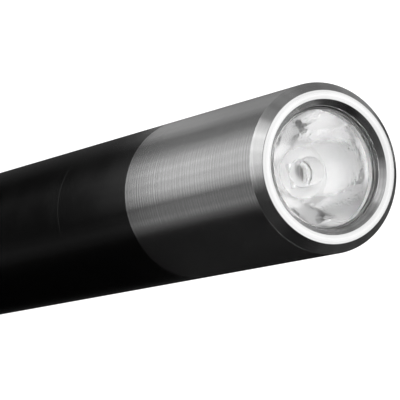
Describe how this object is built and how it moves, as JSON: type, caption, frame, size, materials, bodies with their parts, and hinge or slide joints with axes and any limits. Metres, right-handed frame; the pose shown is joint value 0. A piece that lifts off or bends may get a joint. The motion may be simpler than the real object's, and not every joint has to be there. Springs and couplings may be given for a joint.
{
  "type": "penlight",
  "caption": "Slim pocket penlight with a turned steel head, a clear solid optic, a black tube for slim cells, a pocket clip and a push button in the tail.",
  "frame": {"origin": "centre of the tail's flat rim, on the axis of the tube", "axes": "+Z along the axis from the tail to the head; the pocket clip is on the +Y side"},
  "size_m": [0.0146, 0.0162, 0.134],
  "materials": {
    "turned_steel": "satin",
    "black_anodised": "satin",
    "spring_steel": "satin",
    "clear_optic": "polished",
    "clear_dome": "polished",
    "black_rubber": "matte",
    "grey_rubber": "matte",
    "white_plastic": "satin",
    "black_plastic": "satin",
    "light_tile": "matte",
    "white_ceramic": "satin",
    "white_board": "satin",
    "green_board": "satin",
    "ferrite": "matte",
    "brass": "satin",
    "gold_spring": "polished",
    "lead_red": "satin",
    "cell_metal": "satin",
    "cell_wrap": "gloss"
  },
  "bodies": {
    "tube": {"tube": "black_anodised", "pocket_clip": "spring_steel", "cell_1_can": "cell_metal", "cell_1_wrap": "cell_wrap", "cell_1_cap": "cell_metal", "cell_2_can": "cell_metal", "cell_2_wrap": "cell_wrap", "cell_2_cap": "cell_metal"},
    "head_seal": {"head_seal": "black_rubber"},
    "head": {"bezel": "turned_steel", "optic_gasket": "grey_rubber", "optic": "clear_optic", "optic_holder": "white_plastic", "led_dome": "clear_dome", "led_die": "light_tile", "led_base": "white_ceramic", "led_board": "white_board", "heat_sink": "brass", "led_leads": "lead_red", "driver_chip": "black_plastic", "driver_coil": "ferrite", "driver_board": "green_board", "spring_cup": "white_plastic", "contact_spring": "gold_spring", "front_contact": "brass", "bezel_seal": "black_rubber", "collar": "black_anodised"},
    "tail_seal": {"tail_seal": "black_rubber"},
    "tail": {"tail_cap": "black_anodised", "tail_contact": "brass", "tail_spring": "gold_spring", "retainer_ring": "brass", "switch_lid": "brass", "switch_case": "black_plastic", "switch_spring": "spring_steel", "button_seal": "black_rubber"},
    "button": {"push_button": "black_plastic", "switch_plunger": "white_plastic"}
  },
  "joints": [
    {"name": "head_travel", "type": "slide", "parent": "tube", "child": "head_seal", "axis": [0, 0, 1], "range_m": [0, 0.006]},
    {"name": "head_turn", "type": "hinge", "parent": "head_seal", "child": "head", "pos_m": [0, 0, 0.099], "axis": [0, 0, 1], "range_deg": [0, 2880]},
    {"name": "tail_travel", "type": "slide", "parent": "tube", "child": "tail_seal", "axis": [0, 0, -1], "range_m": [0, 0.006]},
    {"name": "tail_turn", "type": "hinge", "parent": "tail_seal", "child": "tail", "pos_m": [0, 0, 0.014], "axis": [0, 0, -1], "range_deg": [0, 2880]},
    {"name": "button_press", "type": "slide", "parent": "tail", "child": "button", "axis": [0, 0, 1], "range_m": [0, 0.0015], "stiffness_N_per_m": 600, "springref_m": -0.001, "deforming": ["switch_spring"]}
  ],
  "couplings": [
    {"joint": "head_travel", "follows": "head_turn", "m_per_rad": 0.00011937},
    {"joint": "tail_travel", "follows": "tail_turn", "m_per_rad": 0.00011937}
  ]
}
